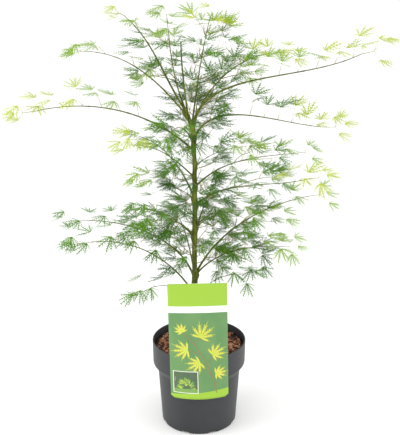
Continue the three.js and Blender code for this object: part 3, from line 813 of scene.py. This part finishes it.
# %% Limb paths
HANDLE = 0.36
for k, limb in enumerate(limbs):
    root = spot(trunk_path, np.interp(limb["height"], trunk_path[0][:, 2], trunk_path[1]))
    tip = root + heading(limb["turn"], 0) * limb["reach"] + UP * limb["rise"]
    handle = HANDLE * np.linalg.norm(tip - root)
    leaving = root + heading(limb["turn"], limb["climb"]) * handle
    arriving = tip - heading(limb["turn"], limb["level"]) * handle
    limb["path"] = bezier([root, leaving, arriving, tip])
    limb["dice"] = np.random.default_rng(101 + 13 * k)
print("the longest limb is", round(max(limb["path"][2] for limb in limbs)), "mm")

# %% [markdown]
# ## Bark
# A young maple's trunk is smooth and green-brown, with fine upright cracks, pale breathing pores, and a
# collar where each limb leaves it. A displaced Skin modifier could make it, but its joints are hard to
# steer. Here each limb is rings of points round its path, whose radius carries the relief: the root's
# buttresses, the collars, slow waves, and the fine cracks. Twigs too thin for relief come later.


# %% Rings of bark
def bark_rings(path, rings, sides, radius_at):
    """Points and faces of a limb with rounded relief: radius_at(share, angle, place) in millimetres."""
    points = []
    beside = np.cross(UP, way(path, 0))
    if np.linalg.norm(beside) < 0.02:
        beside = np.array([1.0, 0, 0])
    for ring in range(rings + 1):
        share = ring / rings
        centre, along = spot(path, share), way(path, share)
        beside = beside - along * np.dot(beside, along)
        beside /= np.linalg.norm(beside)
        over = np.cross(along, beside)
        for k in range(sides):
            angle = 2 * math.pi * k / sides
            out = beside * math.cos(angle) + over * math.sin(angle)
            points.append(centre + out * radius_at(share, angle, centre + out * 3))
    ends = [tuple(range(sides - 1, -1, -1)), tuple(range(rings * sides, (rings + 1) * sides))]
    return points, row_faces(rings + 1, sides) + ends


def joined(parts):
    """Several (points, faces) as one."""
    points, faces = [], []
    for part_points, part_faces in parts:
        first = len(points)
        points.extend(part_points)
        faces.extend(tuple(first + k for k in face) for face in part_faces)
    return points, faces


print("a test rod:", len(bark_rings(trunk_path, 4, 6, lambda *_: 5)[1]), "faces")


# %% Trunk
TRUNK_FOOT, TRUNK_TIP, ROOT_FLARE = 5.6, 3.4, 4.5
COLLAR, COLLAR_REACH, CRACK_DEPTH, WAVE_DEPTH = 1.5, 22, 0.22, 0.45


def trunk_radius(share, angle, place):
    """The trunk's taper, its buttresses, a collar at each limb, and its cracks and waves."""
    above = share * trunk_path[2]
    flare = ROOT_FLARE * math.exp(-above / 12) * (0.7 + 0.3 * math.cos(4 * angle + 1))
    radius = TRUNK_FOOT + (TRUNK_TIP - TRUNK_FOOT) * share**1.4 + flare
    for limb in limbs:
        near = abs(place[2] - limb["height"] - 2)
        if near < COLLAR_REACH:
            towards = heading(limb["turn"], 0) @ (place - spot(trunk_path, share)) / 3
            radius += COLLAR * math.exp(-((near / 8) ** 2)) * max(towards + 0.35, 0)
    cracks = noise.noise(Vector(place * (0.9, 0.9, 0.06)))
    waves = noise.noise(Vector(place * (0.05, 0.05, 0.02)))
    return radius + CRACK_DEPTH * cracks + WAVE_DEPTH * waves


trunk_parts = bark_rings(trunk_path, 230, 28, trunk_radius)
print("trunk", len(trunk_parts[1]), "faces")


# %% Boughs
NODE_STEP, BOUGH_SIDES, BUD_SWELL, FOOT_SWELL, GROOVE_DEPTH = 38.0, 9, 0.32, 1.5, 0.12


def bough_parts(limb):
    """The limb's wood from the trunk's middle to its tip, thinner all the way, with buds' rings."""
    bare, length = limb["bare"], limb["path"][2]
    nodes_at = np.arange(34, length, NODE_STEP)

    def radius_at(share, angle, place):
        radius = limb["radius"] * (1 - 0.42 * min(share / max(bare, 0.2), 1))
        if share > bare:
            radius *= 1 - 0.55 * (share - bare) / (1.001 - bare)
        from_node = np.min(np.abs(nodes_at - share * length))
        swell = BUD_SWELL * math.exp(-((from_node / 2.2) ** 2))
        foot = FOOT_SWELL * math.exp(-share * length / 7)
        grooves = GROOVE_DEPTH * noise.noise(Vector(place * 0.35))
        return max(radius + swell + foot + grooves, 0.5)

    return bark_rings(limb["path"], max(16, int(length / 4)), BOUGH_SIDES, radius_at)


bough_points, bough_faces = joined([bough_parts(limb) for limb in limbs])
print("boughs", len(bough_faces), "faces")

# %% [markdown]
# ### Maple bark
# The trunk's bark is olive with darker brown streaks and pale pores about a millimetre across. A noise
# pulled long upwards gives the streaks, and a Voronoi pattern with small cells the pores. Younger wood
# is greener and smoother, so boughs get their own finish with softer marks.

# %% Bark finishes
BARKS = [
    # name, dark streak, middle, light, streak scale
    ("olive_trunk_bark", "22270a", "525b16", "848f38", 30),
    ("young_bough_bark", "2b310d", "555f1e", "7e883c", 55),
    ("green_twig_bark", "5c5a30", "7f8245", "9fa568", 80),
]
bark_finishes = {}
for name, dark, middle, light, scale in BARKS:
    bark, tree, shader = finish_named(name, {"Roughness": 0.7, "Specular IOR Level": 0.2})
    place = add(tree, "ShaderNodeTexCoord").outputs["Object"]
    long_grain = add(tree, "ShaderNodeMapping", {"Scale": (6, 6, 0.8)}, {"Vector": place})
    grain_size = {"Scale": scale, "Detail": 6, "Roughness": 0.6}
    streaks = add(tree, "ShaderNodeTexNoise", grain_size, {"Vector": long_grain})
    tones = add(tree, "ShaderNodeValToRGB", None, {"Fac": streaks})
    lay_stops(tones, [(0.3, dark), (0.52, middle), (0.75, light)])
    pores = add(tree, "ShaderNodeTexVoronoi", {"Scale": 260}, {"Vector": place})
    is_pore = add(tree, "ShaderNodeMath", {"operation": "LESS_THAN", 1: 0.16}, {0: pores})
    pore_tone = {**COLOUR_MIX, "B": paint("b3a97c")}
    dotted = add(tree, "ShaderNodeMix", pore_tone, {"Factor": is_pore, "A": tones})
    bump = add(tree, "ShaderNodeBump", {"Strength": 0.6, "Distance": 0.0006}, {"Height": streaks})
    plug(tree, shader, {"Base Color": dotted, "Normal": bump})
    bark_finishes[name] = bark
trunk = piece_from("maple_trunk", *trunk_parts, [bark_finishes["olive_trunk_bark"]])
boughs = piece_from("maple_boughs", bough_points, bough_faces, [bark_finishes["young_bough_bark"]])

# %% [markdown]
# ## Twigs and leaves, grown
# Side shoots leave a stem in pairs and lie in flat sprays, as this plant's do. Leaves also come in
# pairs, each on a long thin stalk that lifts it clear of the wood. Each limb ends in a fine twig with
# three young leaves. Young leaves lean outwards, to the light: those at the back of the crown to the
# back, and the rest to the front. Here every shoot, stalk and leaf is worked out as a path or a place.
# A leaf near the pot, the card or the trunk is skipped.

# %% Room for leaves
TRUNK_ROOM, FORK_TOP, POT_ROOM, CARD_ROOM, CROWN_TOP = 8, 664, 8, 6, 852


def on_trunk(height):
    """The share of the trunk's path at a height."""
    return np.interp(height, trunk_path[0][:, 2], trunk_path[1])


def clear_of_pot(point):
    if math.hypot(point[0], point[1]) < RIM + POT_ROOM and point[2] < POT_HEIGHT + POT_ROOM:
        return False
    beside_card = abs(point[0] - CARD_SHIFT) < CARD_WIDTH / 2 + CARD_ROOM
    below_top = point[2] < CARD_BOTTOM + CARD_HEIGHT + CARD_ROOM
    return not (beside_card and below_top and point[1] < CARD_BOW - RIM)


def clear_of_trunk(point):
    axis = spot(trunk_path, on_trunk(point[2]))
    return math.hypot(*(point - axis)[:2]) > TRUNK_ROOM or point[2] > FORK_TOP


def has_room(point):
    return clear_of_pot(point) and clear_of_trunk(point) and point[2] < CROWN_TOP


print("room above the card:", has_room(np.array([0, -RIM, CARD_BOTTOM + CARD_HEIGHT + 20])))


# %% A leaf on its stalk
LEAF_SIZE, STALK_LENGTH, LIGHT_LEAN, PITCH_LEAN, BACK_FROM = (42, 56), (20, 40), 24, 0.9, 100
SWING, TURN_PLAY, CLIMB_PLAY, ROLL_PLAY, REST_DROOP, YOUNG_DROOP = 0.35, 18, 12, 0.4, 5, 35
twig_lines, stalk_lines, leaves = [], [], []


def rotated(first, second, turn):
    """Two square-on directions, both turned in their own plane."""
    cosine, sine = math.cos(turn), math.sin(turn)
    return first * cosine + second * sine, second * cosine - first * sine


def hang_leaf(limb, root, outward, lift, spray, youth, grown_up=1):
    """A leaf on its stalk: its wood, its place, which way it faces and its size."""
    dice = limb["dice"]
    stalk = outward / np.linalg.norm(outward)
    stalk = stalk + UP * lift * dice.uniform(0.6, 1.4) * (1 + 2.4 * limb["perk"])
    swing = dice.uniform(-SWING, SWING)
    stalk[1], stalk[0] = rotated(stalk[1], stalk[0], swing)
    stalk /= np.linalg.norm(stalk)
    length = dice.uniform(*STALK_LENGTH) * (1 + 0.3 * limb["perk"] - 0.35 * youth) * grown_up
    knee = root + stalk * length
    turn = math.degrees(math.atan2(stalk[1], stalk[0])) + dice.uniform(-TURN_PLAY, TURN_PLAY)
    lean, facing = LIGHT_LEAN * min(1, 0.2 + 3 * youth), math.radians(turn)
    lean = lean if knee[1] < BACK_FROM else -lean
    climb = limb["tilt"] * (1 - 1.5 * youth) - REST_DROOP - YOUNG_DROOP * youth
    climb += dice.uniform(-CLIMB_PLAY, CLIMB_PLAY)
    forward = heading(turn, climb + PITCH_LEAN * lean * math.sin(facing))
    size = dice.uniform(*LEAF_SIZE) * (1 - 0.2 * youth) * (0.5 + 0.5 * grown_up)
    if not all(has_room(knee + forward * size * share) for share in (0, 0.6, 1)):
        return
    arch = root + (knee - root) * 0.5 + UP * length * 0.09
    stalk_lines.append(([root, arch, knee], [0.45, 0.3, 0.28]))
    beside = np.cross(UP, forward)
    beside /= np.linalg.norm(beside)
    roll = dice.uniform(-ROLL_PLAY, ROLL_PLAY) * (1 - 1.6 * youth)
    roll += math.radians(lean) * math.cos(facing)
    beside, over = rotated(beside, np.cross(forward, beside), roll)
    leaf = {"knee": knee, "forward": forward, "beside": beside, "over": over, "size": size}
    leaves.append(leaf | spray)


print("leaves", LEAF_SIZE, "mm long, stalks", STALK_LENGTH, "mm")

# %% Pairs of leaves
TIP_TWIG, TIP_YOUTH, TIP_GROWTH = 0.07, 0.25, 0.7
TIP_RADII = [0.7, 0.55, 0.4]


def beside_way(along):
    """The level direction at right angles to a way."""
    beside = np.cross(UP, along)
    return beside / max(np.linalg.norm(beside), 1e-6)


def leaf_pairs(limb, path, start, step, spray, youth=0, end=1):
    """Pairs of leaves along a path from one share of it to another, and three at its tip."""
    pairs = max(1, round(path[2] * (end - start) / step))
    for i in range(pairs):
        share = start + (end - start) * (i + 0.5) / pairs
        lift = (0.5 if i % 2 else 0.95) * (1.5 - 1.3 * share)
        along = way(path, share)
        for hand in (1, -1):
            outward = along * 0.6 + beside_way(along) * hand * 0.8
            hang_leaf(limb, spot(path, share), outward, lift, spray, youth)
    if end < 1:
        return
    foot, along = path[0][-1], way(path, 1)
    tip = foot + along * [1, 1, 0.5] * TIP_TWIG * path[2]
    twig_lines.append(([foot, (foot + tip) / 2, tip], TIP_RADII))
    for hand, lift in ((0, 0.1), (1, 0.6), (-1, -0.5)):
        outward = along + beside_way(along) * hand
        hang_leaf(limb, tip, outward, lift, spray, youth + TIP_YOUTH, TIP_GROWTH)


print("a tip twig is", TIP_TWIG, "of its shoot's length")

# %% Side shoots
SHOOT_ANGLE, SPUR_ANGLE, SHOOT_CLIMB, SHOOT_PIECES = 48, 62, 22, 7
LIGHTER_FROM, BRIGHT_HEIGHT = 0.37, 600


def shoot_from(limb, path, share, hand, length, angle):
    """A side shoot in the limb's flat spray, as a path that climbs out and levels off."""
    root, along = spot(path, share), way(path, share)
    turn = math.degrees(math.atan2(along[1], along[0])) + hand * angle
    middle = root + heading(turn, SHOOT_CLIMB) * length / 2
    tip = root + heading(turn - hand * angle * 0.3, 4 + limb["tilt"] * 0.4) * length
    return bezier([root, middle, tip], SHOOT_PIECES)


def spray_of(limb, share):
    """The shade of a spray: darker near the trunk, as painted shade, and lighter to the tip, for young
    leaves and painted light, the more so high up.
    """
    # Inner sprays are painted darker for shade; outer ones lighter, partly for young leaves, partly as
    # painted light; high limbs more so.
    painted_light_and_youth = 2 * (share - LIGHTER_FROM) * limb["height"] / BRIGHT_HEIGHT
    tint = limb["tint"] + painted_light_and_youth + limb["dice"].uniform(-0.6, 0.6)
    return {"tint": int(np.clip(round(tint), 0, 3))}


def leafy_shoot(limb, path, share, hand, length, angle, bare):
    """A side shoot with its leaves."""
    shoot = shoot_from(limb, path, share, hand, length, angle)
    twig_lines.append((shoot[0], np.linspace(0.9, 0.6, len(shoot[0]))))
    leaf_pairs(limb, shoot, bare, LEAF_STEP * 1.4, spray_of(limb, share), 0)


print("side shoots leave at", SHOOT_ANGLE, "degrees, spurs at", SPUR_ANGLE)

# %% Grow the crown
SHOOT_STEP, LEAF_STEP, SPUR_STEP, SPURS_ABOVE = 44, 30, 23, 336
LEAVES_FROM, SPURS_FROM, SPUR_LENGTH = 26, 18, (16, 34)
for limb in limbs:
    if limb["bare"] == 1:
        continue
    path, dice = limb["path"], limb["dice"]
    first = max(limb["bare"], LEAVES_FROM / path[2])
    middle, step = (first + 1) / 2, LEAF_STEP / limb["along"]
    leaf_pairs(limb, path, first, step, spray_of(limb, 0.35), 0.1, middle)
    leaf_pairs(limb, path, middle, step, spray_of(limb, 1.1), 0.15)
    pairs = round(path[2] * (1 - first) / SHOOT_STEP * limb["shoots"])
    for i in range(pairs):
        share = first + (1 - first) * (i + 0.15) / pairs
        for hand in (1, -1):
            length = max(limb["spread"], 30) * (1.1 - 0.5 * i / pairs) * dice.uniform(0.75, 1.1)
            leafy_shoot(limb, path, share, hand, length, SHOOT_ANGLE, 0.3)
    start = SPURS_FROM / path[2]
    spurs = round(path[2] * (limb["bare"] - start) / SPUR_STEP * limb["spurs"])
    for i in range(spurs):
        share = start + (limb["bare"] - start) * (i + dice.uniform(0.2, 0.8)) / spurs
        if spot(path, share)[2] > SPURS_ABOVE:
            leafy_shoot(limb, path, share, (-1) ** i, dice.uniform(*SPUR_LENGTH), SPUR_ANGLE, 0.6)
print(len(twig_lines), "shoots on the limbs")

# %% Sprays on the trunk
# Each spray is turned from the one below by the golden angle, so that none hides another.
TRUNK_SPRAYS, SPRAYS_TO, GOLDEN_ANGLE = 20, 640, 137.5
# Sprays on the trunk lie inside the crown, so their low tint paints a dark green as shade.
trunk_sprays = {"dice": np.random.default_rng(77), "height": 450, "perk": 0.2, "tilt": 6, "tint": 0.4}
for i in range(TRUNK_SPRAYS):
    height = SPURS_ABOVE + (SPRAYS_TO - SPURS_ABOVE) * (i + 0.5) / TRUNK_SPRAYS
    root = spot(trunk_path, on_trunk(height))
    out = heading(GOLDEN_ANGLE * i, 20)
    shoot = path_along([root, root + out * 22, root + out * 40 + UP * 3])
    twig_lines.append((shoot[0], [0.9, 0.75, 0.6]))
    leaf_pairs(trunk_sprays, shoot, 0.5, LEAF_STEP, spray_of(trunk_sprays, 0.3), 0)
print(len(twig_lines), "shoots,", len(stalk_lines), "stalks,", len(leaves), "leaves")

# %% [markdown]
# ### Paths into wood
# One tree makes all thin wood: it reads edges as curves, takes each point's thickness from an
# attribute, and sweeps a small circle along them. Its inputs are the circle's number of sides and the
# finish, so the same tree makes twigs with five sides and leaf stalks with three.

# %% Thin wood tree
thin_wood, given, result = new_tree("thin_wood", {"Sides": "Int", "Finish": "Material"})
curves = add(thin_wood, "GeometryNodeMeshToCurve", None, {"Mesh": given["Geometry"]})
circle = add(
    thin_wood, "GeometryNodeCurvePrimitiveCircle", {"Radius": 1.0}, {"Resolution": given["Sides"]}
)
thickness = add(thin_wood, "GeometryNodeInputNamedAttribute", {"data_type": "FLOAT", "Name": "thickness"})
tube = add(
    thin_wood,
    "GeometryNodeCurveToMesh",
    {"Fill Caps": True},
    {"Curve": curves, "Profile Curve": circle, "Scale": thickness},
)
close_tree(thin_wood, tube, given, result)


# %% Twigs and stalks
def wood_along(name, lines, sides, finish):
    """Thin wood along lines of (points, radii in millimetres)."""
    points = np.concatenate([np.array(line) for line, _ in lines])
    radii = np.concatenate([np.array(r, float) for _, r in lines]) * MM
    edges, first = [], 0
    for line, _ in lines:
        edges += [(first + k, first + k + 1) for k in range(len(line) - 1)]
        first += len(line)
    source = carrier(name + "_lines", points, edges, {"thickness": ("FLOAT", radii)})
    return grown(name, source, thin_wood, {"Sides": sides, "Finish": finish})


# A leaf stalk is smooth, a little glossy, and blushes from green to pink every 40 mm or so.
stalk_skin, tree, shader = finish_named("pale_leaf_stalk", {"Roughness": 0.5})
place = add(tree, "ShaderNodeTexCoord").outputs["Object"]
blush = add(tree, "ShaderNodeTexNoise", {"Scale": 25, "Detail": 2}, {"Vector": place})
green_to_pink = {**COLOUR_MIX, "A": paint("94a05c"), "B": paint("b98f70")}
shades = add(tree, "ShaderNodeMix", green_to_pink, {"Factor": blush})
plug(tree, shader, {"Base Color": shades})

twigs = wood_along("maple_twigs", twig_lines, 5, bark_finishes["green_twig_bark"])
stalks = wood_along("leaf_stalks", stalk_lines, 3, stalk_skin)

# %% [markdown]
# ### Leaflets
# Each leaf of this maple is a hand of seven slender lobes, and each lobe is toothed like a feather. A
# whole leaf as one mesh would cost hundreds of faces, hundreds of times over. So the shape that
# repeats is one lobe of some two dozen faces, in three variants: a narrow blade, folded along its rib,
# drooping, with sharp teeth that point forward. It is one unit long, and each copy is scaled.


# %% Lobe shapes
TEETH_FROM, TEETH_SHARE = 0.06, 0.66


def lobe(teeth, width, droop, dice):
    """A toothed lobe from its foot at the origin to its tip at X = 1: (points, faces)."""
    points, faces, edges = [], [], []
    step = TEETH_SHARE / teeth

    def place(along, across):
        points.append((along, across, -droop * along**2 - 0.3 * abs(across)))
        return len(points) - 1

    for k in range(teeth):
        for share in (TEETH_FROM + k * step, TEETH_FROM + (k + 0.4) * step):
            half = 0.007 + 0.011 * math.sin(math.pi * min(share + 0.15, 1))
            edges.append((place(share, half), place(share, -half)))
    for (a, b), (c, d) in zip(edges, edges[1:]):
        faces.append((a, b, d, c))
    faces.append((edges[-1][0], edges[-1][1], place(1, 0)))
    faces.append((place(0, 0), edges[0][1], edges[0][0]))
    for k in range(teeth):
        swell = math.sin(math.pi * (0.12 + 0.86 * k / teeth))
        (a, b), (c, d) = edges[2 * k], edges[2 * k + 1]
        for hand in (1, -1):
            across = hand * width * swell * dice.uniform(0.75, 1.15)
            ahead = points[c][0] + abs(across) * dice.uniform(0.7, 1.1)
            tip, back = place(ahead, across), place(ahead - 0.2 * step, across * 0.85)
            faces.append((a, c, tip, back) if hand > 0 else (d, b, back, tip))
    return points, faces


lobe_dice = np.random.default_rng(7)
LOBE_FORMS = [(6, 0.15, 0.05), (6, 0.14, 0.1), (5, 0.17, -0.03)]
LOBES = hidden_shapes("lobe", [lobe(*form, lobe_dice) for form in LOBE_FORMS])

# %% [markdown]
# ### Lobes onto leaves
# Every lobe is a point with two directions, its length and which shape it takes. The tree turns those
# into instances: Axes to Rotation lays the lobe's X along the leaf's lobe and its Z upwards. Leaves of
# one shade go together, shade by shade. The greens run from deep in the middle, which is painted shade,
# to lime at the young tips, which is their own colour with painted light added.

# %% Leaf tree
leafing, given, result = new_tree("lobes_on_points", {"Lobes": "Collection", "Finish": "Material"})
shapes = add(
    leafing,
    "GeometryNodeCollectionInfo",
    {"Separate Children": True, "Reset Children": True},
    {"Collection": given["Lobes"]},
)
STORED = {"ahead": "FLOAT_VECTOR", "above": "FLOAT_VECTOR", "extent": "FLOAT", "shape": "INT"}
stored = {
    name: add(leafing, "GeometryNodeInputNamedAttribute", {"data_type": kind, "Name": name})
    for name, kind in STORED.items()
}
turn = add(
    leafing,
    "FunctionNodeAxesToRotation",
    {"primary_axis": "X", "secondary_axis": "Z"},
    {"Primary Axis": stored["ahead"], "Secondary Axis": stored["above"]},
)
placed = add(
    leafing,
    "GeometryNodeInstanceOnPoints",
    {"Pick Instance": True},
    {
        "Points": given["Geometry"],
        "Instance": shapes,
        "Instance Index": stored["shape"],
        "Rotation": turn,
        "Scale": stored["extent"],
    },
)
close_tree(leafing, placed, given, result)

# %% [markdown]
# ### Leaf skin
# A maple leaf is thin, matt on top with a slight waxy sheen. Each shade is one plain green that drifts
# a little over centimetres, as light and age do on the plant. A faint bump stands for the veins, drawn
# about a millimetre apart, which is coarser than the real ones, so that it shows at all.

# %% Leaf skins
# The deeper greens stand partly for painted shade and the lighter partly for painted light, besides the
# leaves' own colour.
SHADES = [
    # name, main green, its drift
    ("leaves_deep", "285404", "40700c"),
    ("leaves_green", "40720a", "5c8a14"),
    ("leaves_fresh", "6c9614", "8eb026"),
    ("leaves_lime", "9db41c", "bac832"),
]


def leaf_skin(name, main, drift):
    """The skin of the leaves of one shade."""
    skin, tree, shader = finish_named(name, {"Roughness": 0.5, "Specular IOR Level": 0.2})
    place = add(tree, "ShaderNodeTexCoord").outputs["Object"]
    patch = add(tree, "ShaderNodeTexNoise", {"Scale": 28, "Detail": 3}, {"Vector": place})
    greens = {**COLOUR_MIX, "A": paint(main), "B": paint(drift)}
    shades = add(tree, "ShaderNodeMix", greens, {"Factor": patch})
    veins = add(tree, "ShaderNodeTexNoise", {"Scale": 900, "Detail": 2}, {"Vector": place})
    bump = add(tree, "ShaderNodeBump", {"Strength": 0.2, "Distance": 0.0003}, {"Height": veins})
    plug(tree, shader, {"Base Color": shades, "Normal": bump})
    return skin


print(len(SHADES), "shades of green")

# %% Grow the leaves
LOBE_FAN = [(0, 1.0), (19, 0.95), (-19, 0.95), (39, 0.8), (-39, 0.8), (64, 0.5), (-64, 0.5)]
leaf_dice = np.random.default_rng(23)
leaf_pieces = []
for tint, (name, main, drift) in enumerate(SHADES):
    feet, values = [], {stored_name: [] for stored_name in STORED}
    for leaf in (leaf for leaf in leaves if leaf["tint"] == tint):
        for angle, share in LOBE_FAN:
            angle = math.radians(angle + leaf_dice.uniform(-6, 6))
            out = leaf["forward"] * math.cos(angle) + leaf["beside"] * math.sin(angle)
            out = out - UP * leaf_dice.uniform(-0.1, 0.08)
            feet.append(leaf["knee"])
            values["ahead"].append(out / np.linalg.norm(out))
            values["above"].append(leaf["over"] + 0.15 * leaf_dice.normal(size=3))
            values["extent"].append(leaf["size"] * share * leaf_dice.uniform(0.86, 1.1) * MM)
            values["shape"].append(int(leaf_dice.integers(0, len(LOBE_FORMS))))
    attributes = {label: (kind, values[label]) for label, kind in STORED.items()}
    source = carrier(name + "_points", feet, [], attributes)
    skin = leaf_skin("leaf_skin_" + name.split("_")[1], main, drift)
    leaf_pieces.append(grown(name, source, leafing, {"Lobes": LOBES, "Finish": skin}))

# %% [markdown]
# ## Hand the pieces to the frame
# Each piece rides on the model's one body and says which CAD nodes it stands for, so that those are
# hidden but still there for collisions.

# %% Ride and replace
nodes = sorted(frame["nodes"])
masses = [n for n in nodes if n.startswith("foliage_")]
bough_nodes = [n for n in nodes if n.startswith("bough_")]
slots = {m.get("slot") for m in frame["record"]["materials"]}
print("material slots:", sorted(slots))
RIDERS = [
    (pot, ["pot"], "pot_plastic"),
    (compost, ["soil"], "bark_compost"),
    (mulch, ["soil"], "bark_compost"),
    (card, ["plant_card"], "card"),
    (sprig, ["plant_card"], "card"),
    (trunk, ["trunk"], "bark"),
    (boughs, bough_nodes, "bark"),
    (twigs, masses, "bark"),
    (stalks, masses, "leaves"),
    *[(piece, masses, "leaves") for piece in leaf_pieces],
]
for piece, stands_for, slot in RIDERS:
    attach(piece, "root")
    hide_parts(*stands_for)
